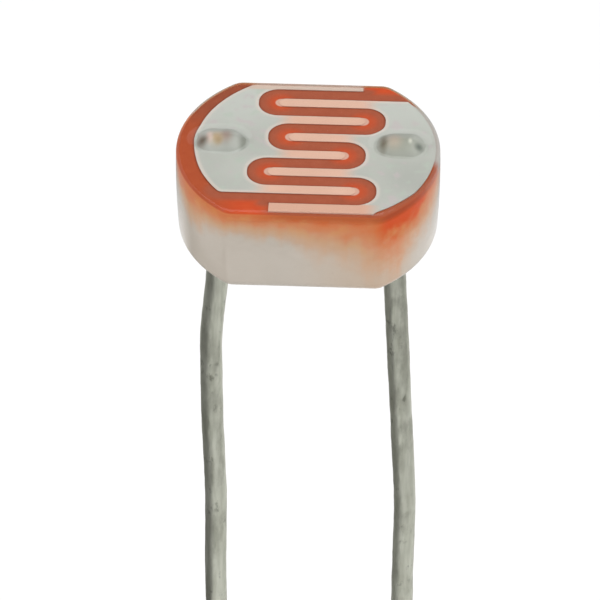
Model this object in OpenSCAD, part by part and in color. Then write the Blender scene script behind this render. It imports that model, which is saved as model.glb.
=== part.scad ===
// Photoresistor: a pressed ceramic puck with two flats carries an orange photoconductive film.
// Two metal combs lie on the film and leave one serpentine lane of it bare between them.
// Each comb is joined to a tinned wire lead by a dab of silver paste, and clear resin seals the top and sides.
// The origin is the centre of the puck's underside. +Z points to the light-sensitive face, X runs
// from the left lead to the right one.

/* [Ceramic puck] */
// Diameter across the two round sides
ceramic_d = 4.96; // [4.6:0.01:5.4]
// Width across the two flats
ceramic_w = 4.04; // [3.95:0.01:4.3]
// Height of the bare puck
ceramic_h = 1.80; // [1.5:0.05:2.5]
// Edge radius round the top face
top_round = 0.03; // [0.01:0.01:0.06]
// Edge radius round the underside
bottom_round = 0.20; // [0.05:0.01:0.25]

/* [Photoconductive film] */
// Thickness of the film
film_t = 0.02; // [0.01:0.005:0.03]
// How far the film laps down the puck's side
film_lap = 0.15; // [0.08:0.01:0.4]

/* [Comb electrodes] */
// Thickness of the metal layer
electrode_t = 0.02; // [0.01:0.005:0.03]
// Diameter of the round opening in the metal mask
mask_d = 4.69; // [4.5:0.01:4.9]
// How far the mask sat off the puck's centre, to the right
mask_x = 0.165; // [-0.2:0.005:0.2]
// How far the mask sat off the puck's centre, to the back
mask_y = 0.060; // [-0.08:0.005:0.08]
// Distance from one lane of bare film to the next
lane_pitch = 0.555; // [0.52:0.005:0.57]
// Width of a lane
lane_w = 0.310; // [0.28:0.005:0.36]
// Width of the lane where it turns round a fingertip
turn_gap = 0.40; // [0.36:0.01:0.45]
// Corner radius of the lane's outer edge in those turns
turn_round = 0.39; // [0.1:0.01:0.39]
// Reach of the fingers past the mask's centre, from the middle pair outwards
finger_reach = [0.55, 0.90, 0.79]; // [0.4:0.01:1.0]
// Reach of the border strip along each flat
strip_reach = 0.83; // [0.4:0.01:1.2]
// Radius of the land's corner at the open end of the outer lane
land_round = 0.15; // [0.05:0.01:0.3]

/* [Leads] */
// Diameter of the tinned wire
wire_d = 0.45; // [0.35:0.01:0.5]
// Distance between the two lead holes
lead_pitch = 3.47; // [3.2:0.01:3.5]
// How far the pair of holes sits off the puck's centre, to the right
lead_shift = -0.04; // [-0.06:0.01:0.06]
// How far that pair sits off the puck's centre, to the back
lead_back = 0.10; // [-0.1:0.01:0.1]
// Gap round the wire in its hole
hole_clear = 0.06; // [0.02:0.01:0.07]
// How far the wire's end stands above the electrode
wire_proud = 0.06; // [0.02:0.01:0.08]
// Radius on the rim of that end
wire_end_round = 0.05; // [0.02:0.01:0.06]
// Drop from the underside to the lead tips
lead_reach = 30; // [20:1:40]
// Radius of the wire's gentle bends
bend_r = 12; // [8:1:16]
// Straight stretches of the left lead, before each bend but the last
left_run = [0.7, 0.3, 1.2, 1.9]; // [0.2:0.05:6]
// Bends that end those stretches, positive outwards (degrees)
left_turn = [6.2, -6.2, -1.3, 2.3]; // [-10:0.1:10]
// Straight stretches of the right lead, before each bend but the last
right_run = [0.8, 5.5]; // [0.2:0.05:6]
// Bends that end those stretches, positive outwards (degrees)
right_turn = [2.9, -3.5]; // [-10:0.1:10]
// Straight stretch before the bend that brings a lead back to the vertical
last_run = 1.6; // [0.5:0.1:3]

/* [Silver contacts] */
// How far a contact laps past the lead hole on each side
contact_lap = 0.02; // [0.01:0.01:0.06]
// Length of the contact between its round ends
contact_run = 0.27; // [0.2:0.01:0.35]
// Depth of silver over the wire's end
contact_cover = 0.10; // [0.06:0.01:0.15]
// How far the paste flowed to the right of the wire
contact_shift = 0.09; // [0:0.01:0.12]

/* [Clear coat] */
// Thickness of the resin at the foot of the side
coat_foot = 0.03; // [0.02:0.01:0.06]
// Thickness of the resin over the film
coat_top = 0.08; // [0.05:0.01:0.15]
// Thickness of the resin over the contacts
coat_over_contact = 0.05; // [0.03:0.01:0.08]
// How far the resin bellies out on the round sides
side_bulge = 0.04; // [0.02:0.01:0.1]
// How far the resin bellies out on the flats
flat_bulge = 0.04; // [0.02:0.01:0.06]
// Height of the belly above the underside
belly_z = 1.25; // [0.9:0.05:1.4]
// Edge radius round the top of the resin
coat_edge = 0.08; // [0.04:0.01:0.12]

/* [Hidden] */
$fn = 96;

// Room for a cutting shape to run past what it cuts
past = 1;
ceramic_r = ceramic_d / 2;
ceramic_half = ceramic_w / 2;
film_top = ceramic_h + film_t;
electrode_top = film_top + electrode_t;
coat_h = film_top + coat_top;

mask_r = mask_d / 2;
finger_w = lane_pitch - lane_w;
bay_half = (lane_pitch + lane_w) / 2;
// Outer edge of the last lane, where the border strip begins
strip_y = len(finger_reach) * lane_pitch + lane_w / 2;

wire_r = wire_d / 2;
// A bend is a hair thinner than the straights, so that its two ends sink into them
bend_thin = 0.001;
bend_sink = 0.03;
hole_r = wire_r + hole_clear;
left_x = lead_shift - lead_pitch / 2;
right_x = lead_shift + lead_pitch / 2;

// A contact is the cap of a lying capsule, as wide as the hole and its laps where it meets the electrode
contact_half = hole_r + contact_lap;
contact_h = wire_proud + contact_cover;
contact_r = (contact_half ^ 2 + contact_h ^ 2) / (2 * contact_h);
contact_z = electrode_top + contact_h - contact_r;

function sum_to(values, count) = count <= 0 ? 0 : values[count - 1] + sum_to(values, count - 1);
// A lead's bends with the last one, which brings it back to the vertical
function all_turns(turns) = concat(turns, [-sum_to(turns, len(turns))]);
// Drop of a lead over its straight stretches and bends, from stretch i on
function drop_from(runs, turns, i = 0) =
    i >= len(runs) ? 0 :
    runs[i] * cos(sum_to(turns, i))
    + bend_r * abs(sin(sum_to(turns, i + 1)) - sin(sum_to(turns, i)))
    + drop_from(runs, turns, i + 1);

// Removes the corner where a circle round the origin meets the line y = level, and leaves a fillet
module corner_trim(circle_r, level, fillet) {
    centre_y = level - fillet;
    centre_x = sqrt((circle_r - fillet) ^ 2 - centre_y ^ 2);
    outwards = [centre_x, centre_y] / (circle_r - fillet);
    difference() {
        translate([centre_x, centre_y])
            polygon([[0, 0], past * [0, 1], past * [1, 1], past * outwards]);
        translate([centre_x, centre_y])
            circle(fillet);
    }
}

// Upright section of the ceramic: straight sides and a radius on each edge
module puck_section(half, height, top_edge, bottom_edge) {
    difference() {
        translate([-half, 0])
            square([2 * half, height]);
        for (side = [0, 1])
            mirror([side, 0]) {
                translate([half - top_edge, height - top_edge])
                    difference() {
                        square(past);
                        circle(top_edge);
                    }
                translate([half - bottom_edge, bottom_edge])
                    mirror([0, 1])
                        difference() {
                            square(past);
                            circle(bottom_edge);
                        }
            }
    }
}

// Upright section of the resin: bellied sides that draw in towards the foot, and a radius on each edge
module coat_section(half, bulge) {
    belly_r = (bulge ^ 2 + belly_z ^ 2) / (2 * bulge);
    difference() {
        intersection() {
            translate([half - belly_r, belly_z])
                circle(belly_r, $fn = 4 * $fn);
            translate([belly_r - half, belly_z])
                circle(belly_r, $fn = 4 * $fn);
            translate([-half, 0])
                square([2 * half, coat_h]);
        }
        for (side = [0, 1])
            mirror([side, 0])
                translate([half - belly_r, belly_z]) {
                    corner_trim(belly_r, coat_h - belly_z, coat_edge);
                    mirror([0, 1])
                        corner_trim(belly_r, belly_z, bottom_round);
                }
    }
}

// Turns the first section about Z, and keeps what the second one, run along X, leaves between the flats
module two_flat_solid(reach) {
    intersection() {
        rotate_extrude()
            intersection() {
                children(0);
                translate([0, -past])
                    square([reach + past, coat_h + 2 * past]);
            }
        rotate([90, 0, 90])
            linear_extrude(2 * (reach + past), center = true)
                children(1);
    }
}

// The puck with no holes, or a skin of that thickness on its top and sides
module puck(skin = 0) {
    two_flat_solid(ceramic_r + skin) {
        puck_section(ceramic_r + skin, ceramic_h + skin, top_round + skin, bottom_round);
        puck_section(ceramic_half + skin, ceramic_h + skin, top_round + skin, bottom_round);
    }
}

// The puck's top with the film on it, down to the film's lower edge
module filmed_top() {
    intersection() {
        puck(film_t);
        translate([0, 0, ceramic_h - film_lap])
            cylinder(r = ceramic_d, h = film_lap + past);
    }
}

// Straight holes for the two leads, through everything below the contacts
module lead_holes() {
    for (x = [left_x, right_x])
        translate([x, lead_back, -past])
            cylinder(r = hole_r, h = coat_h + 2 * past);
}

// Room that one comb's finger and the lane round it take out of the other comb's land
module bay(reach, y) {
    corner_y = bay_half - turn_round;
    translate([turn_round - reach - turn_gap, y]) {
        for (side = [-1, 1])
            translate([0, side * corner_y])
                circle(turn_round);
        translate([-turn_round, -corner_y])
            square([turn_round, 2 * corner_y]);
        translate([0, -bay_half])
            square([mask_r, 2 * bay_half]);
    }
}

// Finger of a comb, with a round tip
module finger(reach, y) {
    tip_r = finger_w / 2;
    translate([reach - tip_r, y]) {
        circle(tip_r);
        translate([-reach, -tip_r])
            square([reach, finger_w]);
    }
}

// The left comb about the mask's centre; the right comb is the same one turned half round
module comb() {
    difference() {
        intersection() {
            circle(mask_r, $fn = 2 * $fn);
            translate([-mask_r, lane_w - strip_y])
                square([mask_r, 2 * mask_r]);
        }
        mirror([1, 0])
            mirror([0, 1])
                corner_trim(mask_r, strip_y - lane_w, land_round);
        for (k = [0 : len(finger_reach) - 1])
            bay(finger_reach[k], (k + 0.5) * lane_pitch * (k % 2 == 0 ? 1 : -1));
    }
    for (k = [0 : len(finger_reach) - 1])
        finger(finger_reach[k], (k + 0.5) * lane_pitch * (k % 2 == 0 ? -1 : 1));
    translate([-finger_w, strip_y])
        square([finger_w + strip_reach, mask_r - strip_y]);
}

// A comb laid on the film, turned about the mask's centre and cut off at the edge of the top face
module electrode_blank(turn) {
    edge_r = ceramic_r - top_round;
    edge_half = ceramic_half - top_round;
    translate([0, 0, film_top])
        linear_extrude(electrode_t)
            intersection() {
                translate([mask_x, mask_y])
                    rotate(turn)
                        comb();
                circle(edge_r, $fn = 2 * $fn);
                translate([-edge_r, -edge_half])
                    square([2 * edge_r, 2 * edge_half]);
            }
}

// Dab of silver paste over the wire's end, or the resin's dome round it
module contact_capsule(lead_x, skin = 0) {
    translate([lead_x + contact_shift, lead_back, contact_z])
        rotate([0, 90, 0])
            rotate_extrude()
                intersection() {
                    union() {
                        translate([0, -contact_run / 2])
                            square([contact_r + skin, contact_run]);
                        for (end = [-1, 1])
                            translate([0, end * contact_run / 2])
                                circle(contact_r + skin);
                    }
                    translate([0, -past])
                        square([past, 2 * past]);
                }
}

module contact_blank(lead_x) {
    intersection() {
        contact_capsule(lead_x);
        translate([lead_x, lead_back, electrode_top])
            cylinder(r = 2 * past, h = past);
    }
}

// Bend that starts straight down and turns towards +X by the angle, or towards -X where it is negative
module bend(angle) {
    sink_angle = bend_sink / bend_r * 180 / PI;
    mirror([angle < 0 ? 1 : 0, 0, 0])
        translate([bend_r, 0, 0])
            rotate([90, 0, 0])
                rotate_extrude(angle = abs(angle) + 2 * sink_angle, start = 180 - sink_angle, $fn = 8 * $fn)
                    translate([bend_r, 0])
                        circle(wire_r - bend_thin, $fn = $fn / 2);
}

// Straight stretch i of a lead, the bend below it and all that follows, then the straight end
module wire_from(side, runs, turns, i = 0) {
    run = i < len(runs) ? runs[i] : lead_reach - drop_from(runs, turns);
    translate([0, 0, -run])
        cylinder(r = wire_r, h = run, $fn = $fn / 2);
    if (i < len(runs))
        translate([0, 0, -run]) {
            angle = side * turns[i];
            bend(angle);
            translate([sign(angle) * bend_r * (1 - cos(angle)), 0, -bend_r * abs(sin(angle))])
                rotate([0, -angle, 0])
                    wire_from(side, runs, turns, i + 1);
        }
}

// A whole lead: the end that stands in its contact, the stretch in the hole and the free length
module lead(x, side, runs, turns) {
    end_z = electrode_top + wire_proud;
    translate([x, lead_back, 0]) {
        rotate_extrude($fn = $fn / 2)
            difference() {
                square([wire_r, end_z]);
                translate([wire_r - wire_end_round, end_z - wire_end_round])
                    difference() {
                        square(past);
                        circle(wire_end_round);
                    }
            }
        wire_from(side, concat(runs, [last_run]), all_turns(turns));
    }
}

module ceramic_base() {
    color("#d9d0c4")
        difference() {
            puck();
            lead_holes();
        }
}

module photoconductive_film() {
    color("#b9502f")
        difference() {
            filmed_top();
            puck();
            lead_holes();
        }
}

module left_electrode() {
    color("#c9cdc9")
        difference() {
            electrode_blank(0);
            lead_holes();
        }
}

module right_electrode() {
    color("#c9cdc9")
        difference() {
            electrode_blank(180);
            lead_holes();
        }
}

module left_lead() {
    color("#a5a79b")
        lead(left_x, -1, left_run, left_turn);
}

module right_lead() {
    color("#a5a79b")
        lead(right_x, 1, right_run, right_turn);
}

module left_contact() {
    color("#b9b7ac")
        difference() {
            contact_blank(left_x);
            left_lead();
        }
}

module right_contact() {
    color("#b9b7ac")
        difference() {
            contact_blank(right_x);
            right_lead();
        }
}

module clear_coat() {
    color("#f4ece0", 0.35)
        difference() {
            union() {
                two_flat_solid(ceramic_r + coat_foot + side_bulge) {
                    coat_section(ceramic_r + coat_foot + side_bulge, side_bulge);
                    coat_section(ceramic_half + coat_foot + flat_bulge, flat_bulge);
                }
                contact_capsule(left_x, coat_over_contact);
                contact_capsule(right_x, coat_over_contact);
            }
            puck();
            filmed_top();
            electrode_blank(0);
            electrode_blank(180);
            contact_blank(left_x);
            contact_blank(right_x);
        }
}

ceramic_base();
photoconductive_film();
left_electrode();
right_electrode();
left_lead();
right_lead();
left_contact();
right_contact();
clear_coat();
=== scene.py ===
# Photoresistor: orange film and two comb electrodes on a ceramic puck, in clear resin, on two wire leads.
# Lengths are in metres in the frame of the solids: +Z up, origin at the centre of the puck's underside.
# Finishes read the place on the object in millimetres, so the lengths in them are millimetres.
import math

import bmesh
import bpy
import numpy as np
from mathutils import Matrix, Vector, geometry


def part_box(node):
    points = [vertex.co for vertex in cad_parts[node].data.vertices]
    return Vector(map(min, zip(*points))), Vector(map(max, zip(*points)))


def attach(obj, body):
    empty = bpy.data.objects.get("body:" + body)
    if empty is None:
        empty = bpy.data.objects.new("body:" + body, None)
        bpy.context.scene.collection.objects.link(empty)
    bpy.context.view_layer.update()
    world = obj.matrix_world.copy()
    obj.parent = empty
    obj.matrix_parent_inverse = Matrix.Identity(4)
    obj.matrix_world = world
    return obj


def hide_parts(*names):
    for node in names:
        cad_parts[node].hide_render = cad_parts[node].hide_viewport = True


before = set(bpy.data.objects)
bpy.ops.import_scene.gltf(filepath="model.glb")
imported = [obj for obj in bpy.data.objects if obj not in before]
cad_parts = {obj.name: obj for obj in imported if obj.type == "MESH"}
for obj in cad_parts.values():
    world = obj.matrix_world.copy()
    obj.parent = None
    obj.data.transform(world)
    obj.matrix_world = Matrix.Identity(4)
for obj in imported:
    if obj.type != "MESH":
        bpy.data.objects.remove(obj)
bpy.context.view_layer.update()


# Ceramic puck: pressed and fired alumina with two flats and two lead holes. It carries everything else.
# Its side is stained where the film's slurry ran over the edge, most of all at the front right corner.
MM = 0.001
puck_r, puck_half, puck_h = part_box("ceramic_base")[1]
puck_top_round = 0.03 * MM
puck_foot_round = 0.20 * MM
corner_round = 0.30 * MM
hole_r = 0.285 * MM
lead_spot = {"left": Vector((-1.775, 0.10)) * MM, "right": Vector((1.695, 0.10)) * MM}
lead_holes = [(spot, hole_r) for spot in lead_spot.values()]
arc_steps = 36
corner_steps = 8
flat_steps = 12
edge_steps = 6
foot_steps = 8


def spread(first, last, steps):
    """Evenly spaced numbers from first to last, both included."""
    return [first + (last - first) * i / steps for i in range(steps + 1)]


def arc(centre, radius, first, last, steps):
    """Points on an arc between two angles in radians."""
    angles = spread(first, last, steps)
    return [Vector(centre) + radius * Vector((math.cos(a), math.sin(a))) for a in angles]


def circle(centre, radius, steps=48):
    """Points once round a circle."""
    return arc(centre, radius, 0, math.tau, steps)[:-1]


def raised(points, z):
    """Points of a plan, brought to one height."""
    return [Vector((p.x, p.y, z)) for p in points]


def two_flat_ring(radius, half, z):
    """Points at one height round a circle with two flats, whose four corners are rounded."""
    middle_y = half - corner_round
    middle_x = math.sqrt((radius - corner_round) ** 2 - middle_y ** 2)
    meet = math.atan2(middle_y, middle_x)
    quarter = arc((0, 0), radius, 0, meet, arc_steps)
    quarter += arc((middle_x, middle_y), corner_round, meet, math.pi / 2, corner_steps)[1:]
    quarter += [Vector((x, half)) for x in spread(middle_x, 0, flat_steps)[1:]]
    back = quarter[::-1]
    ring = [(p.x, p.y) for p in quarter[:-1]]
    ring += [(-p.x, p.y) for p in back[:-1]]
    ring += [(-p.x, -p.y) for p in quarter[:-1]]
    ring += [(p.x, -p.y) for p in back[:-1]]
    return [Vector((x, y, z)) for x, y in ring]


def distance_to(points, lines):
    """Distance from each 2-D point to the nearest of some polylines."""
    tiny = 1e-30
    points = np.asarray(points, float)
    nearest = np.full(len(points), np.inf)
    for line in lines:
        line = np.asarray(line, float)[:, :2]
        for start, end in zip(line[:-1], line[1:]):
            along = end - start
            # a stretch of no length counts as its one point
            share = np.clip((points - start) @ along / max(along @ along, tiny), 0, 1)
            gap = points - start - share[:, None] * along
            nearest = np.minimum(nearest, np.hypot(gap[:, 0], gap[:, 1]))
    return nearest


def cap(mesh, ring, holes, faces_up, grid=0):
    """Closes a flat ring with triangles round its holes, and inner points on a grid where one is given."""
    inside_only = 1
    weld = 1e-9
    z = ring[0].z
    loops = [[p.to_2d() for p in ring]] + [circle(*hole) for hole in holes]
    points, edges = [], []
    for loop in loops:
        first = len(points)
        points += loop
        edges += [(first + i, first + (i + 1) % len(loop)) for i in range(len(loop))]
    if grid:
        low = np.min(loops[0], axis=0)
        high = np.max(loops[0], axis=0)
        columns = np.arange(low[0], high[0], grid)
        rows = np.arange(low[1], high[1], grid)
        inner = np.array([(x, y) for x in columns for y in rows])
        clear = distance_to(inner, [loop + loop[:1] for loop in loops]) > grid / 2
        points += [Vector(p) for p in inner[clear]]
    points, _, triangles, *_ = geometry.delaunay_2d_cdt(points, edges, [], inside_only, weld)
    verts = [mesh.verts.new((p.x, p.y, z)) for p in points]
    for triangle in triangles:
        middle = sum((points[i] for i in triangle), Vector((0, 0))) / 3
        if all((middle - centre).length > r for centre, r in holes):
            mesh.faces.new([verts[i] for i in (triangle if faces_up else reversed(triangle))])


def skin(mesh, rings):
    """Joins a stack of equally long rings. Those that turn left and rise give a face that looks outwards."""
    rows = [[mesh.verts.new(p) for p in ring] for ring in rings]
    for lower, upper in zip(rows, rows[1:]):
        for i in range(len(lower)):
            j = (i + 1) % len(lower)
            mesh.faces.new((lower[i], lower[j], upper[j], upper[i]))


def lid(mesh, ring):
    """One face over a ring, which turns left as seen from outside."""
    mesh.faces.new([mesh.verts.new(p) for p in ring])


def solid_of(rings, holes=(), grid=0):
    """A closed mesh on a stack of rings, with upright round holes from its first ring to its last."""
    mesh = bmesh.new()
    skin(mesh, rings)
    cap(mesh, rings[0], holes, faces_up=False)
    cap(mesh, rings[-1], holes, faces_up=True, grid=grid)
    for hole in holes:
        skin(mesh, [raised(circle(*hole), ring[0].z) for ring in (rings[-1], rings[0])])
    return mesh


def piece_of(name, mesh, material, sharp=35):
    """A shaded object at the origin. Edges with a steeper turn than sharp degrees stay crisp."""
    weld = 1e-8
    bmesh.ops.remove_doubles(mesh, verts=mesh.verts, dist=weld)
    loose = [v for v in mesh.verts if not v.link_faces]
    bmesh.ops.delete(mesh, geom=loose, context="VERTS")
    data = bpy.data.meshes.new(name)
    mesh.to_mesh(data)
    mesh.free()
    data.shade_smooth()
    data.set_sharp_from_angle(angle=math.radians(sharp))
    data.materials.append(material)
    piece = bpy.data.objects.new(name, data)
    bpy.context.scene.collection.objects.link(piece)
    return piece


def settle(piece, node):
    """Lets a piece stand for its solid."""
    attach(piece, "root")
    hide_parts(node)


class Field:
    """A socket in a node tree. Arithmetic on it adds Math nodes, and add() puts in any other node."""

    def __init__(self, tree, socket=None):
        self.tree = tree
        self.socket = socket

    def add(self, kind, sockets=(), settings=(), out=0):
        node = self.tree.nodes.new(kind)
        for name, value in dict(settings).items():
            setattr(node, name, value)
        for key, value in dict(sockets).items():
            if isinstance(value, Field):
                self.tree.links.new(value.socket, node.inputs[key])
            else:
                node.inputs[key].default_value = value
        return Field(self.tree, node.outputs[out])

    def math(self, operation, first, second=0.0):
        return self.add("ShaderNodeMath", {0: first, 1: second}, {"operation": operation})

    def __add__(self, other):
        return self.math("ADD", self, other)

    def __radd__(self, other):
        return self.math("ADD", other, self)

    def __sub__(self, other):
        return self.math("SUBTRACT", self, other)

    def __rsub__(self, other):
        return self.math("SUBTRACT", other, self)

    def __mul__(self, other):
        return self.math("MULTIPLY", self, other)

    def __rmul__(self, other):
        return self.math("MULTIPLY", other, self)

    def __truediv__(self, other):
        return self.math("DIVIDE", self, other)

    def __abs__(self):
        return self.math("ABSOLUTE", self)


def new_material(name):
    """A material, its shader's inputs, and the point on the object in millimetres."""
    material = bpy.data.materials.new(name)
    material.use_nodes = True
    tree = material.node_tree
    metres = Field(tree).add("ShaderNodeTexCoord", out="Object")
    point = metres.add("ShaderNodeVectorMath", {0: metres, "Scale": 1 / MM}, {"operation": "SCALE"})
    return material, tree.nodes["Principled BSDF"].inputs, point


def feed(inputs, **values):
    """Sets or links a shader's inputs, by their names with _ for each space."""
    for name, value in values.items():
        socket = inputs[name.replace("_", " ")]
        if isinstance(value, Field):
            value.tree.links.new(value.socket, socket)
        else:
            socket.default_value = value


def seen(red, green, blue):
    """A colour as the eye sees it, from 0 to 255, in a shader's linear light, by the sRGB curve."""
    linear = [((c / 255 + 0.055) / 1.055) ** 2.4 if c > 10 else c / 3294.6 for c in (red, green, blue)]
    return (*linear, 1.0)


def axes(point):
    """The three parts of a point."""
    split = point.add("ShaderNodeSeparateXYZ", {0: point})
    return [Field(point.tree, socket) for socket in split.socket.node.outputs]


def grain(point, size, detail=3.0, rough=0.5, stretch=(1, 1, 1)):
    """Cloudy noise from about 0 to 1 whose patches are about size millimetres wide."""
    stretched = point.add("ShaderNodeVectorMath", {0: point, 1: stretch}, {"operation": "DIVIDE"})
    sockets = {"Vector": stretched, "Scale": 1 / size, "Detail": detail, "Roughness": rough}
    return point.add("ShaderNodeTexNoise", sockets, out="Fac")


def step(value, low, high):
    """Smooth rise from 0 at low to 1 at high, or a fall where low is the greater."""
    sockets = {"Value": value, "From Min": low, "From Max": high}
    return value.add("ShaderNodeMapRange", sockets, {"interpolation_type": "SMOOTHSTEP"})


def tint(share, first, second):
    """First colour where share is 0, second where it is 1."""
    return share.add("ShaderNodeMix", {0: share, 6: first, 7: second}, {"data_type": "RGBA"}, out=2)


def bump(height, depth):
    """Normal of a surface that height, from 0 to 1, raises by depth millimetres."""
    return height.add("ShaderNodeBump", {"Height": height, "Distance": depth * MM, "Strength": 1.0})


def patch(point, x, y, size_x, size_y):
    """1 in the middle of an upright oval column at x, y, falling smoothly to 0 at its rim."""
    moved = point.add("ShaderNodeVectorMath", {0: point, 1: (x, y, 0)}, {"operation": "SUBTRACT"})
    sizes = (1 / size_x, 1 / size_y, 0)
    scaled = point.add("ShaderNodeVectorMath", {0: moved, 1: sizes}, {"operation": "MULTIPLY"})
    far = point.add("ShaderNodeVectorMath", {0: scaled}, {"operation": "LENGTH"}, out="Value")
    return step(far, 1.0, 0.0)


def stained_side(point):
    """Colour of the puck's side: warm grey ceramic, orange where the slurry ran down it, with painted shade
    at its foot.
    """
    x, y, z = axes(point)
    depth = puck_h / MM - z
    cloud = grain(point, 0.9, detail=4.0)
    streak = grain(point, 0.26, stretch=(1, 1, 9))
    blotch = grain(point, 0.30, detail=5.0, rough=0.6)
    front = step(y, -1.2, -1.9)
    corner = patch(point, 1.88, -1.55, 1.25, 1.25)
    # how far the slurry ran down: little at the back, more along the front flat to its right corner,
    # and somewhat more where the round sides begin beside that flat
    reach = 0.40 + 0.57 * front * step(x, -1.0, 1.5) + 0.35 * corner
    reach = reach + 0.22 * patch(point, 2.30, -0.75, 0.9, 0.9)
    reach = reach + 0.20 * patch(point, -2.08, -1.25, 0.9, 0.9)
    # 0 at the top edge and about 1 where the ragged stain ends
    run = depth / (reach * (0.68 + 0.64 * streak)) + 0.30 * (cloud - 0.5) + 0.8 * (blotch - 0.5)
    # bare ceramic, with painted shade along its foot, and warmer at the front right
    colour = tint(cloud, seen(189, 180, 168), seen(203, 194, 183))
    colour = tint(step(z, 0.18, 0.02) * 0.5, colour, seen(164, 152, 138))
    colour = tint(front * step(x, -0.4, 1.3) * 0.6, colour, seen(200, 174, 148))
    # the stain, from its pale border up to strong orange, redder at the corner
    colour = tint(step(run, 1.75, 0.75), colour, seen(206, 164, 130))
    colour = tint(step(run, 0.95, 0.35), colour, seen(213, 132, 84))
    colour = tint(step(blotch, 0.50, 0.64) * step(run, 1.3, 0.6) * 0.4, colour, seen(216, 148, 82))
    colour = tint(step(run, 0.42, 0.08) * (0.4 + 0.6 * step(x, -1.6, -0.2)), colour, seen(216, 110, 52))
    colour = tint(step(corner, 0.25, 0.65) * step(run, 1.30, 0.50) * 0.5, colour, seen(214, 114, 44))
    colour = tint(step(corner, 0.35, 0.70) * step(run, 0.60, 0.20), colour, seen(216, 78, 6))
    # a dried brown line along the top edge
    brown = 0.05 + 0.42 * step(x, -1.2, -0.2) + 0.30 * step(x, 1.2, 1.7)
    dried = step(depth, 0.20, 0.04) * brown * (0.6 + 0.6 * cloud)
    return tint(dried, colour, seen(148, 68, 36))


def ceramic_finish():
    """Matt fired alumina with fine pores, under the stain."""
    material, inputs, point = new_material("stained ceramic")
    pores = step(grain(point, 0.045, detail=2.0), 0.66, 0.76)
    colour = tint(pores * 0.25, stained_side(point), seen(150, 138, 124))
    height = grain(point, 0.05, detail=4.0) - 0.5 * pores
    feed(inputs, Base_Color=colour, Roughness=0.62, Normal=bump(height, 0.004))
    return material


def puck_rings(grow, foot, top_round):
    """Rings up the puck's side, grown all round, from the height foot to the rounded top edge."""
    top = puck_h + grow
    rings = [two_flat_ring(puck_r + grow, puck_half + grow, foot)]
    for a in spread(0, math.pi / 2, edge_steps):
        inset = top_round * (1 - math.cos(a)) - grow
        z = top - top_round * (1 - math.sin(a))
        rings.append(two_flat_ring(puck_r - inset, puck_half - inset, z))
    return rings


foot_rings = []
for a in spread(0, math.pi / 2, foot_steps)[:-1]:
    inset = puck_foot_round * (1 - math.sin(a))
    z = puck_foot_round * (1 - math.cos(a))
    foot_rings.append(two_flat_ring(puck_r - inset, puck_half - inset, z))
puck_mesh = solid_of(foot_rings + puck_rings(0, puck_foot_round, puck_top_round), lead_holes)
puck = piece_of("puck", puck_mesh, ceramic_finish())
settle(puck, "ceramic_base")


# Film and combs: cadmium sulphide is fired onto the top as a matt orange film that laps over the edge.
# Metal is evaporated onto it through a mask, as two combs that leave one serpentine lane of film bare.
# The right comb is the left one turned half round. It runs off the edge, as the mask sat off centre.
film_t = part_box("photoconductive_film")[1].z - puck_h
film_top = puck_h + film_t
film_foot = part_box("photoconductive_film")[0].z
comb_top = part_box("left_electrode")[1].z
mask_r = 2.345 * MM
mask_place = Vector((0.165, 0.060)) * MM
lane_pitch = 0.555 * MM
lane_w = 0.310 * MM
turn_gap = 0.40 * MM
turn_round = 0.39 * MM
finger_reach = [0.55 * MM, 0.90 * MM, 0.79 * MM]
strip_reach = 0.83 * MM
land_round = 0.15 * MM
finger_tip = (lane_pitch - lane_w) / 2
bay_half = (lane_pitch + lane_w) / 2
strip_y = len(finger_reach) * lane_pitch + lane_w / 2
land_y = strip_y - lane_w
finger_y = [(k + 0.5) * lane_pitch * (-1 if k % 2 == 0 else 1) for k in range(len(finger_reach))]
metal_creep = 0.075 * MM
root_inset = 0.30 * MM
root_fade = 0.45 * MM
film_grid = 0.03 * MM
comb_grid = 0.04 * MM
mask_steps = 90
tip_steps = 12
turn_steps = 16


def comb_outline():
    """The left comb's outer edge and its edge along the lane, about the mask's centre, in one left turn."""
    middle_y = land_y - land_round
    middle_x = math.sqrt((mask_r - land_round) ** 2 - middle_y ** 2)
    meet = math.pi + math.atan2(middle_y, middle_x)
    outer = arc((0, 0), mask_r, math.acos(strip_reach / mask_r), meet, mask_steps)
    lane = arc((-middle_x, -middle_y), land_round, meet, 1.5 * math.pi, corner_steps)[1:]
    fingers = sorted(zip(finger_y, finger_reach))
    bays = sorted((-y, reach) for y, reach in fingers)
    corner_y = bay_half - turn_round
    for (tip_y, reach), (bay_y, bay_reach) in zip(fingers, bays):
        lane += arc((reach - finger_tip, tip_y), finger_tip, -math.pi / 2, math.pi / 2, tip_steps)
        corner_x = turn_round - bay_reach - turn_gap
        lane += arc((corner_x, bay_y - corner_y), turn_round, -math.pi / 2, -math.pi, turn_steps)
        lane += arc((corner_x, bay_y + corner_y), turn_round, -math.pi, -1.5 * math.pi, turn_steps)
    lane.append(Vector((strip_reach, strip_y)))
    return outer, lane


def placed(points, turned):
    """Points about the mask's centre, turned half round for the right comb, on the puck."""
    return [mask_place + (-p if turned else p) for p in points]


def kept_inside(points, fence):
    """What of an outline lies inside a convex fence that turns left."""
    for start, end in zip(fence, fence[1:] + fence[:1]):
        along = end - start
        kept = []
        for p, q in zip(points, points[1:] + points[:1]):
            p_side = along.cross(p - start)
            q_side = along.cross(q - start)
            if p_side >= 0:
                kept.append(p)
            if (p_side > 0 > q_side) or (p_side < 0 < q_side):
                kept.append(p + (q - p) * (p_side / (p_side - q_side)))
        points = kept
    return points


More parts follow.
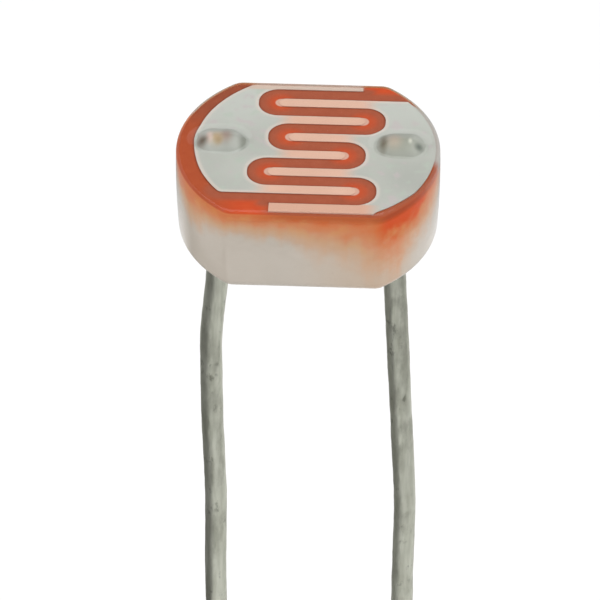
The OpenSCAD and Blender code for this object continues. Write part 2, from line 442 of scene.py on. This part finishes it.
face_fence = [p.to_2d() for p in two_flat_ring(puck_r - puck_top_round, puck_half - puck_top_round, 0)]
comb_outer, comb_lane = comb_outline()
lane_edges = [placed(comb_lane, turned) for turned in (False, True)]
comb_edges = lane_edges + [placed(comb_outer, turned) for turned in (False, True)]
tips = [Vector((reach - finger_tip + metal_creep, y)) for reach, y in zip(finger_reach, finger_y)]
fingertips = placed(tips, False) + placed(tips, True)
finger_roots = []
for y in finger_y:
    # a finger's metal is thin from a little past the nearer of the two turns beside it
    beside = [reach for reach, other in zip(finger_reach, finger_y) if abs(other + y) < 1.5 * lane_pitch]
    finger_roots.append((root_inset - min(beside) - turn_gap, y))


def note(piece, name, values):
    """Keeps one number for each point of a piece, for its material to read."""
    kept = piece.data.attributes.new(name, "FLOAT", "POINT")
    kept.data.foreach_set("value", np.asarray(values, np.float32))


def plan_of(piece):
    """The points of a piece seen from above."""
    return np.array([v.co.to_2d() for v in piece.data.vertices])


def noted(point, name):
    """The number that a piece keeps under that name."""
    return point.add("ShaderNodeAttribute", settings={"attribute_name": name}, out="Fac")


def film_finish():
    """Matt orange film: brownish in the lane, brighter round its turns and on the margin."""
    material, inputs, point = new_material("orange film")
    x, y, z = axes(point)
    edge = noted(point, "edge_gap")
    turn = noted(point, "fingertip_gap")
    mottle = grain(point, 0.16, detail=4.0, rough=0.6)
    lane = tint(mottle, seen(158, 76, 48), seen(178, 93, 64))
    bright = tint(mottle, seen(200, 66, 20), seen(214, 86, 36))
    left = tint(mottle, seen(168, 68, 30), seen(186, 86, 44))
    back = tint(mottle, seen(142, 68, 40), seen(164, 82, 52))
    margin = tint(step(x, -1.1, -1.9), bright, left)
    margin = tint(step(y, 0.3, 1.3) * step(x, 0.9, -0.4), margin, back)
    colour = tint(step(turn, 0.37, 0.14) * 0.7, lane, bright)
    colour = tint(step(noted(point, "lane_gap"), 0.15, 0.34), colour, margin)
    strip_ends = patch(point, -0.85, -1.93, 0.32, 0.16) + patch(point, 1.18, 2.02, 0.32, 0.16)
    colour = tint(strip_ends * 0.9, colour, bright)
    # painted shade along the combs' edges, where the metal steps up from the film
    colour = tint(step(edge, 0.06, 0.0) * 0.55, colour, seen(112, 56, 36))
    # at the fingers' tips a haze of metal crept under the mask
    colour = tint(step(turn, 0.137, 0.108) * 0.9, colour, seen(222, 182, 163))
    fleck = step(grain(point, 0.06, detail=2.0), 0.70, 0.78)
    colour = tint(fleck * 0.35, colour, seen(122, 56, 38))
    # over the edge the film thins into the stain, brown at the front right,
    # and a little metal went over the rim at the right and behind
    rim = step(noted(point, "rim_gap"), 0.07, 0.03)
    brown_rim = rim * step(y, 0.0, -0.5) * step(x, -0.9, -0.4)
    colour = tint(brown_rim * 0.8, colour, seen(158, 82, 50))
    colour = tint(step(z, film_top / MM - 0.01, film_top / MM - 0.03), colour, stained_side(point))
    lap = step(noted(point, "rim_gap"), 0.09, 0.055)
    metal_rim = lap * step(x, 1.6, 1.8) * step(y, -0.55, -0.20) * step(y, 1.52, 1.36)
    colour = tint(metal_rim * 0.9, colour, seen(176, 180, 176))
    back_rim = lap * step(y, 1.7, 1.8) * step(x, 1.05, 0.90) * step(x, -1.25, -1.00)
    colour = tint(back_rim * 0.9, colour, seen(214, 194, 181))
    feed(inputs, Base_Color=colour, Roughness=0.8, Normal=bump(grain(point, 0.03), 0.003))
    return material


film_inner = puck_rings(0, film_foot, puck_top_round)[::-1]
film_outer = puck_rings(film_t, film_foot, puck_top_round + film_t)
film = piece_of("film", solid_of(film_inner + film_outer, lead_holes, film_grid), film_finish())
note(film, "edge_gap", distance_to(plan_of(film), comb_edges) / MM)
note(film, "lane_gap", distance_to(plan_of(film), lane_edges) / MM)
note(film, "rim_gap", distance_to(plan_of(film), [face_fence + face_fence[:1]]) / MM)
note(film, "fingertip_gap", distance_to(plan_of(film), [[p, p] for p in fingertips]) / MM)
settle(film, "photoconductive_film")


def comb_finish():
    """Frosted metal with faint clouds of green and pink."""
    material, inputs, point = new_material("evaporated metal")
    x, y, _ = axes(point)
    gap = noted(point, "edge_gap")
    cloud = grain(point, 0.7, detail=4.0)
    hue = grain(point, 0.30, detail=2.0)
    frost = grain(point, 0.05)
    land = tint(cloud, seen(174, 178, 171), seen(192, 195, 189))
    land = tint(step(y, 0.1, 1.5) * 0.8, land, seen(194, 199, 193))
    land = tint(patch(point, 2.08, -0.95, 0.9, 0.9) * 0.6, land, seen(166, 170, 164))
    land = tint(step(hue, 0.55, 0.70) * 0.6, land, seen(180, 192, 180))
    land = tint(step(hue, 0.44, 0.32) * 0.6, land, seen(192, 182, 184))
    warm = tint(cloud, seen(216, 174, 152), seen(225, 188, 168))
    strip = tint(step(y, -1.0, 1.0), seen(214, 170, 148), seen(206, 186, 172))
    # thin metal lets the film show through: on the fingers, along the lane and on the border strips
    colour = tint(step(gap, 0.10, 0.02) * 0.65, land, seen(216, 205, 196))
    colour = tint(step(noted(point, "finger_share"), 0, 1), colour, warm)
    colour = tint(step(abs(y - mask_place.y / MM), 1.78, 1.83) * step(abs(x), 1.5, 1.1), colour, strip)
    roughness = 0.42 + 0.2 * frost
    feed(inputs, Base_Color=colour, Metallic=0.2, Roughness=roughness, Normal=bump(frost, 0.002))
    return material


comb_metal = comb_finish()
for side, turned in (("left", False), ("right", True)):
    outline = kept_inside(placed(comb_outer + comb_lane, turned), face_fence)
    rings = [raised(outline, z) for z in (film_top, comb_top)]
    hole = [(lead_spot[side], hole_r)]
    comb = piece_of(side + "_comb", solid_of(rings, hole, comb_grid), comb_metal)
    # the edges along which the metal is thin: all but the right comb's outer one
    note(comb, "edge_gap", distance_to(plan_of(comb), comb_edges[:3]) / MM)
    about = (plan_of(comb) - np.array(mask_place)) * (-1 if turned else 1)
    shares = []
    for root_x, root_y in finger_roots:
        across = np.abs(about[:, 1] - root_y) < lane_pitch / 2
        shares.append(across * np.clip(0.5 + (about[:, 0] - root_x) / root_fade, 0, 1))
    note(comb, "finger_share", np.max(shares, axis=0))
    settle(comb, side + "_electrode")


# Leads: tinned copper wire, pushed up through the puck and bent a little by handling.
# Each is swept along its route of straight stretches and bends, and is slightly dented all along.
wire_r = 0.225 * MM
bend_r = 12 * MM
wire_proud = 0.06 * MM
wire_end = comb_top + wire_proud
wire_sides = 32
bend_steps = 8
lead_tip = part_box("left_lead")[0].z
lead_runs = {"left": [0.7, 0.3, 1.2, 1.9, 1.6], "right": [0.8, 5.5, 1.6]}
lead_turns = {"left": [6.2, -6.2, -1.3, 2.3, -1.0], "right": [2.9, -3.5, 0.6]}
outwards = {"left": -1, "right": 1}


def lead_route(side):
    """Points down the middle of a lead, from its end in the silver to its tip."""
    place = lead_spot[side].to_3d()
    route = [place + Vector((0, 0, wire_end)), place]
    lean = 0.0
    for run, turn in zip(lead_runs[side], lead_turns[side]):
        chord = bend_r * abs(math.radians(turn)) / bend_steps
        bend = [(chord, math.radians(turn) / bend_steps)] * bend_steps
        for length, angle in [(run * MM, 0)] + bend:
            lean += angle
            way = Vector((outwards[side] * math.sin(lean), 0, -math.cos(lean)))
            route.append(route[-1] + length * way)
    route.append(Vector((route[-1].x, route[-1].y, lead_tip)))
    return route


def sweep_tree():
    """Sweeps a round wire along the input's edges, and dents it by noise."""
    tree = bpy.data.node_groups.new("dented wire", "GeometryNodeTree")
    sizes = ("Wire radius", "Ring spacing", "Dent depth", "Dents per metre")
    inputs = [("Route", "NodeSocketGeometry")] + [(name, "NodeSocketFloat") for name in sizes]
    inputs += [("Metal", "NodeSocketMaterial")]
    for name, kind in inputs:
        tree.interface.new_socket(name, in_out="INPUT", socket_type=kind)
    tree.interface.new_socket("Wire", in_out="OUTPUT", socket_type="NodeSocketGeometry")
    maker = Field(tree)
    given = list(maker.add("NodeGroupInput").socket.node.outputs)[:len(inputs)]
    route, radius, spacing, depth, scale, metal = [Field(tree, socket) for socket in given]
    curve = maker.add("GeometryNodeMeshToCurve", {"Mesh": route})
    even = maker.add("GeometryNodeResampleCurve", {"Curve": curve, "Length": spacing}, {"mode": "LENGTH"})
    section = maker.add("GeometryNodeCurvePrimitiveCircle", {"Resolution": wire_sides, "Radius": radius})
    sweep = {"Curve": even, "Profile Curve": section, "Fill Caps": True}
    wire = maker.add("GeometryNodeCurveToMesh", sweep)
    dents = maker.add("ShaderNodeTexNoise", {"Scale": scale, "Detail": 3.0}, out="Fac")
    normal = maker.add("GeometryNodeInputNormal")
    shift = {0: normal, "Scale": (dents - 0.5) * depth}
    moved = maker.add("ShaderNodeVectorMath", shift, {"operation": "SCALE"})
    dented = maker.add("GeometryNodeSetPosition", {"Geometry": wire, "Offset": moved})
    real = maker.add("GeometryNodeRealizeInstances", {"Geometry": dented})
    done = maker.add("GeometryNodeSetMaterial", {"Geometry": real, "Material": metal})
    end = tree.nodes.new("NodeGroupOutput")
    tree.links.new(done.socket, end.inputs[0])
    return tree


def grown(name, route, tree, sizes, sharp=50):
    """The plain mesh that a tree makes from a route, with the tree's other inputs by name."""
    data = bpy.data.meshes.new(name)
    data.from_pydata(route, [(i, i + 1) for i in range(len(route) - 1)], [])
    piece = bpy.data.objects.new(name, data)
    bpy.context.scene.collection.objects.link(piece)
    modifier = piece.modifiers.new("make", "NODES")
    modifier.node_group = tree
    for socket in tree.interface.items_tree:
        if socket.in_out == "INPUT" and socket.name in sizes:
            modifier[socket.identifier] = sizes[socket.name]
    ready = piece.evaluated_get(bpy.context.evaluated_depsgraph_get())
    made = bpy.data.meshes.new_from_object(ready)
    piece.modifiers.remove(modifier)
    piece.data = made
    made.name = name
    made.shade_smooth()
    made.set_sharp_from_angle(angle=math.radians(sharp))
    return piece


def tin_finish():
    """Dull tin with long streaks, darker blotches and small pits."""
    material, inputs, point = new_material("dull tin")
    streaks = grain(point, 0.12, detail=4.0, stretch=(1, 1, 9))
    blotch = step(grain(point, 0.55, detail=6.0, rough=0.68, stretch=(1, 1, 2.2)), 0.47, 0.66)
    pits = step(grain(point, 0.20, detail=4.0, rough=0.6, stretch=(1, 1, 1.8)), 0.58, 0.74)
    bright = tint(step(streaks, 0.3, 0.7), seen(198, 200, 184), seen(226, 228, 213))
    colour = tint(blotch * 0.38, bright, seen(162, 163, 148))
    colour = tint(pits * 0.6, colour, seen(110, 110, 96))
    roughness = 0.34 + 0.10 * streaks + 0.10 * blotch
    height = grain(point, 0.09, detail=4.0, stretch=(1, 1, 3)) - 0.4 * pits
    feed(inputs, Base_Color=colour, Metallic=0.9, Roughness=roughness, Normal=bump(height, 0.012))
    return material


wire_tree = sweep_tree()
wire_sizes = {
    "Wire radius": wire_r,
    "Ring spacing": 0.06 * MM,
    "Dent depth": 0.03 * MM,
    "Dents per metre": 2200.0,
    "Metal": tin_finish(),
}
for side in ("left", "right"):
    wire = grown(side + "_wire", lead_route(side), wire_tree, wire_sizes)
    settle(wire, side + "_lead")


# Silver contacts: a dab of conductive paste over each wire's end, flowed to the right and hardened.
# The left one sank over the wire and shows its beige end, the right one stayed a smooth oblong dome.
dab_shift = 0.09 * MM
dab_run = 0.27 * MM
dab_lap = 0.02 * MM
dab_half = hole_r + dab_lap
dab_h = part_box("left_contact")[1].z - comb_top
dab_ball = (dab_half ** 2 + dab_h ** 2) / (2 * dab_h)
dab_phase = {"left": 0.4, "right": 2.6}
dab_foot = 0.86
dab_skirt = 0.012 * MM
dab_lobe = 1.25
dab_wave = 0.05
dab_ripple = 0.03
dab_rings = 24
dab_sides = 64
dab_eye = 0.02


def dab_finish():
    """Grey silver paste with beige and pinkish spots, and painted shade and painted highlights on each dab.
    """
    material, inputs, point = new_material("silver paste")
    cloud = grain(point, 0.18, detail=4.0)
    colour = tint(cloud, seen(176, 181, 175), seen(192, 196, 190))
    left, right = [spot / MM for spot in lead_spot.values()]
    # place beside its wire, half sizes, strength and colour of each patch
    spots_and_painted_light = [
        # painted shade over the left dab's right half
        (left, 0.22, 0.00, 0.34, 0.46, 0.80, seen(158, 160, 152)),
        (left, 0.18, 0.04, 0.20, 0.32, 0.95, seen(156, 138, 128)),
        (left, 0.00, -0.02, 0.22, 0.30, 0.95, seen(184, 162, 130)),
        (left, 0.05, -0.10, 0.13, 0.16, 0.80, seen(162, 140, 104)),
        # a painted highlight on the left dab's left side
        (left, -0.13, 0.00, 0.11, 0.26, 0.95, seen(214, 192, 182)),
        # painted shade at both ends of the left dab
        (left, -0.25, -0.08, 0.17, 0.26, 1.00, seen(114, 104, 92)),
        (left, 0.51, -0.04, 0.15, 0.45, 0.95, seen(140, 145, 136)),
        (right, 0.08, -0.04, 0.74, 0.56, 0.90, seen(152, 156, 143)),
        (right, -0.05, 0.03, 0.24, 0.34, 0.85, seen(186, 172, 156)),
        # painted shade along the right dab's left foot, a painted highlight, and painted shade at its front
        # right
        (right, -0.24, 0.00, 0.13, 0.40, 0.90, seen(114, 106, 88)),
        (right, 0.26, 0.02, 0.06, 0.12, 0.90, seen(214, 216, 204)),
        (right, 0.42, -0.10, 0.13, 0.15, 0.95, seen(104, 112, 104)),
    ]
    for middle, x, y, size_x, size_y, share, shade in spots_and_painted_light:
        colour = tint(patch(point, middle.x + x, middle.y + y, size_x, size_y) * share, colour, shade)
    feed(inputs, Base_Color=colour, Metallic=0.2, Roughness=0.55, Normal=bump(grain(point, 0.07), 0.008))
    return material


def dab_mesh(side):
    """A dome on a stadium outline, with the wire's end taken out of it from below."""
    spot = lead_spot[side]
    rings = []
    for share in spread(1.0, dab_eye, dab_rings):
        ring = []
        # past the dome's foot the paste thins out
        dome = min(share / dab_foot, 1)
        rise = math.sqrt(dab_ball ** 2 - (dome * dab_half) ** 2) - dab_ball
        height = max(dab_h + rise, dab_skirt * min((1 - share) / (1 - dab_foot), 1) ** 2)
        for a in spread(0, math.tau, dab_sides)[:-1]:
            # the paste's edge is uneven, with the dome's foot never inside the plain stadium
            wave = dab_wave * math.cos(3 * a + dab_phase[side])
            lobe = dab_lobe + wave + dab_ripple * math.cos(5 * a)
            middle_x = spot.x + dab_shift + math.copysign(dab_run / 2, math.cos(a))
            x = middle_x + share * lobe * dab_half * math.cos(a)
            y = spot.y + share * lobe * dab_half * math.sin(a)
            ring.append(Vector((x, y, comb_top + (height if share < 1 else 0))))
        rings.append(ring)
    mesh = bmesh.new()
    skin(mesh, rings)
    lid(mesh, rings[-1])
    cap(mesh, rings[0], [(spot, wire_r)], faces_up=False)
    socket = circle(spot, wire_r)
    skin(mesh, [raised(socket, z) for z in (wire_end, comb_top)])
    lid(mesh, raised(socket[::-1], wire_end))
    return mesh


silver = dab_finish()
for side in ("left", "right"):
    dab = piece_of(side + "_dab", dab_mesh(side), silver)
    settle(dab, side + "_contact")


# Clear coat: the finished part was dipped, so resin covers its top and sides and bellies out a little.
# Its inner wall is sunk a hair into the ceramic, so that light never meets a gap between the two.
coat_r, coat_half, coat_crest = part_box("clear_coat")[1]
coat_t = 0.08 * MM
coat_top = film_top + coat_t
coat_edge = 0.08 * MM
side_bulge = 0.04 * MM
flat_bulge = 0.04 * MM
belly_z = 1.25 * MM
sunk = 0.012 * MM
swell_r = 0.60 * MM
coat_edge_steps = 8
coat_side_steps = 16
coat_top_rings = 70
coat_eye = 0.01


def bellied(z, half, bulge):
    """Half width of the resin at a height: a belly that draws in at the foot, with both edges rounded."""
    # the roundings end a hair before they meet the belly
    nearly = 0.98
    ball = (bulge ** 2 + belly_z ** 2) / (2 * bulge)
    for level, edge in ((coat_top, coat_edge), (0.0, puck_foot_round)):
        turn_z = level - edge if level else edge
        turn_x = half - ball + math.sqrt((ball - edge) ** 2 - (turn_z - belly_z) ** 2)
        if abs(z - level) < edge * nearly:
            return turn_x + math.sqrt(max(edge ** 2 - (z - turn_z) ** 2, 0))
    return half - ball + math.sqrt(ball ** 2 - (z - belly_z) ** 2)


def past_dab(x, y, side):
    """Distance of a point from the line along the middle of a dab."""
    middle = lead_spot[side]
    return math.hypot(max(abs(x - middle.x - dab_shift) - dab_run / 2, 0), y - middle.y)


def coat_height(x, y):
    """Height of the resin's top, which swells smoothly over the two dabs."""
    near = min(past_dab(x, y, side) for side in lead_spot)
    return coat_top + (coat_crest - coat_top) * math.cos(math.pi / 2 * min(near / swell_r, 1)) ** 2


def coat_finish():
    """Clear resin with slow ripples."""
    material, inputs, point = new_material("clear resin")
    ripple = grain(point, 0.5, detail=2.0)
    feed(inputs, Base_Color=(0.98, 0.96, 0.93, 1), Transmission_Weight=1.0, IOR=1.5, Roughness=0.1)
    feed(inputs, Normal=bump(ripple, 0.008))
    # lamps and soft light pass straight through to what the resin covers
    tree = material.node_tree
    glass = Field(tree, tree.nodes["Principled BSDF"].outputs[0])
    clear = point.add("ShaderNodeBsdfTransparent")
    path = tree.nodes.new("ShaderNodeLightPath").outputs
    for ray in ("Is Diffuse Ray", "Is Shadow Ray"):
        glass = point.add("ShaderNodeMixShader", {0: Field(tree, path[ray]), 1: glass, 2: clear})
    tree.links.new(glass.socket, tree.nodes["Material Output"].inputs["Surface"])
    return material


inner_wall = puck_rings(-sunk, puck_foot_round, puck_top_round)[::-1]
inner_wall += [two_flat_ring(puck_r - puck_foot_round, puck_half - puck_foot_round, sunk)]
levels = [puck_foot_round * (1 - math.cos(a)) for a in spread(0, math.pi / 2, foot_steps)]
levels += spread(puck_foot_round, coat_top - coat_edge, coat_side_steps)[1:]
levels += [coat_top - coat_edge * (1 - math.sin(a)) for a in spread(0, math.pi / 2, coat_edge_steps)[1:]]
outer_wall = []
for z in levels:
    radius = bellied(z, coat_r, side_bulge)
    half = bellied(z, coat_half, flat_bulge)
    outer_wall.append(two_flat_ring(radius, half, z))
top_rings = []
for share in spread(1.0, coat_eye, coat_top_rings)[1:]:
    flat = [p * share for p in outer_wall[-1]]
    top_rings.append([Vector((p.x, p.y, coat_height(p.x, p.y))) for p in flat])
coat_mesh = bmesh.new()
skin(coat_mesh, inner_wall + outer_wall + top_rings)
cap(coat_mesh, inner_wall[0], [], faces_up=False)
lid(coat_mesh, top_rings[-1])
coat = piece_of("resin_coat", coat_mesh, coat_finish())
settle(coat, "clear_coat")


# Stage: a white floor under the lead tips, soft lamps, and a black flag and a shaded ring that only
# reflections see. The camera stands where the photo was taken from.
def towards(azimuth, elevation):
    """Direction from the object to a place round it, in degrees. Azimuth 0 is in front."""
    a, e = math.radians(azimuth), math.radians(elevation)
    return Vector((math.sin(a) * math.cos(e), -math.cos(a) * math.cos(e), math.sin(e)))


def card(name, middle, facing, width, height, material):
    """A flat stage rectangle."""
    turn = facing.to_track_quat("Z", "Y")
    corners = [(-width, -height, 0), (width, -height, 0), (width, height, 0), (-width, height, 0)]
    data = bpy.data.meshes.new(name)
    data.from_pydata([middle + turn @ (Vector(c) / 2) for c in corners], [], [(0, 1, 2, 3)])
    data.materials.append(material)
    sheet = bpy.data.objects.new(name, data)
    bpy.context.scene.collection.objects.link(sheet)
    return sheet


def shown_share(tree):
    """1 for the rays that show the background: from the camera, from reflections and through glass."""
    path = tree.nodes.new("ShaderNodeLightPath").outputs
    share = Field(tree, path["Is Camera Ray"])
    for ray in ("Is Glossy Ray", "Is Transmission Ray"):
        share = share.math("MAXIMUM", share, Field(tree, path[ray]))
    return share


def floor_finish():
    """Pale floor that keeps the object's shadow, lifted to white where it is seen."""
    material, inputs, _ = new_material("white floor")
    feed(inputs, Base_Color=seen(238, 238, 238), Roughness=0.9, Specular_IOR_Level=0.0)
    lift = tint(shown_share(material.node_tree), (0, 0, 0, 1), (0.18, 0.18, 0.18, 1))
    feed(inputs, Emission_Color=lift, Emission_Strength=1.0)
    return material


def flag_finish():
    """Dead black."""
    material, inputs, _ = new_material("dark card")
    feed(inputs, Base_Color=(0, 0, 0, 1), Roughness=1.0, Specular_IOR_Level=0.0)
    return material


def ring_finish():
    """Pale round the object's foot, dark further out, lighter to the back, with a dark place at the left."""
    material, inputs, point = new_material("shaded ring")
    x, y, _ = axes(point)
    level = 0.10 + 0.27 * step(y, -5, 40) + 0.16 * step(x, 5, 30) * step(y, 0, 35)
    far = x.math("SQRT", x * x + y * y)
    pale = 0.76 + 0.24 * step(far, 29, 36)
    level = level + (pale - level) * step(far, 42.5, 34.5)
    left = step(abs(y), 30, 18) * step(abs(x + 24), 16, 9)
    feed(inputs, Base_Color=level + (0.08 - level) * left, Roughness=1.0, Specular_IOR_Level=0.0)
    return material


floor_side = 1200 * MM
card("floor", Vector((0, 0, lead_tip)), Vector((0, 0, 1)), floor_side, floor_side, floor_finish())

# the face mirrors the flag, and the leads and the puck's side a ring on the floor, as in a light tent
flag_way = towards(167, 40)
flag_far = 120 * MM
flag_w = 260 * MM
flag_h = 230 * MM
top_flag = card("top_flag", flag_far * flag_way, -flag_way, flag_w, flag_h, flag_finish())
ring_inner = 8 * MM
ring_outer = 110 * MM
ring_lift = 1 * MM
ring_wall = 120 * MM
ring_rows = []
for radius, rise in ((ring_inner, ring_lift), (ring_outer, ring_lift), (ring_outer, ring_wall)):
    ring_rows.append(raised(circle((0, 0), radius), lead_tip + rise))
ring_mesh = bmesh.new()
skin(ring_mesh, ring_rows)
side_flag = piece_of("side_flag", ring_mesh, ring_finish())
for flag in (top_flag, side_flag):
    flag.visible_camera = False
    flag.visible_diffuse = False
    flag.visible_shadow = False
    flag.visible_transmission = False

world = bpy.data.worlds.new("studio")
bpy.context.scene.world = world
world.use_nodes = True
ambient = 0.57
background = world.node_tree.nodes["Background"].inputs
sky = tint(shown_share(world.node_tree), (ambient, ambient, ambient, 1), (1, 1, 1, 1))
feed(background, Color=sky, Strength=1.0)


def lamp(name, azimuth, elevation, distance, size, level, glints=False):
    """A square soft lamp aimed at the puck. Level 1 alone lights a white card facing it to full white."""
    light = bpy.data.lights.new(name, "AREA")
    light.size = size
    light.energy = level * (math.pi * distance) ** 2
    holder = bpy.data.objects.new(name, light)
    holder.location = distance * towards(azimuth, elevation)
    holder.rotation_euler = towards(azimuth, elevation).to_track_quat("Z", "Y").to_euler()
    holder.visible_glossy = glints
    bpy.context.scene.collection.objects.link(holder)


lamp("key", azimuth=140, elevation=65, distance=160 * MM, size=110 * MM, level=0.36, glints=True)
lamp("left_fill", azimuth=-68, elevation=20, distance=200 * MM, size=120 * MM, level=0.32)
lamp("right_fill", azimuth=60, elevation=25, distance=200 * MM, size=120 * MM, level=0.31)

view_az = 2.51
view_el = 36.92
view_far = 78.0 * MM
lens_mm = 243.5
face_middle = Vector((0, 0, coat_top))
aim_below = 2.950 * MM
aim_left = 0.152 * MM
camera_data = bpy.data.cameras.new("camera")
camera_data.lens = lens_mm
camera_data.sensor_width = 36
camera_data.clip_start = 1 * MM
camera = bpy.data.objects.new("camera", camera_data)
away = towards(view_az, view_el)
right = towards(view_az + 90, 0)
aim = face_middle - aim_below * away.cross(right) - aim_left * right
camera.location = face_middle + view_far * away
camera.rotation_euler = (camera.location - aim).to_track_quat("Z", "Y").to_euler()
bpy.context.scene.collection.objects.link(camera)
bpy.context.scene.camera = camera
bpy.context.scene.view_settings.view_transform = "Standard"
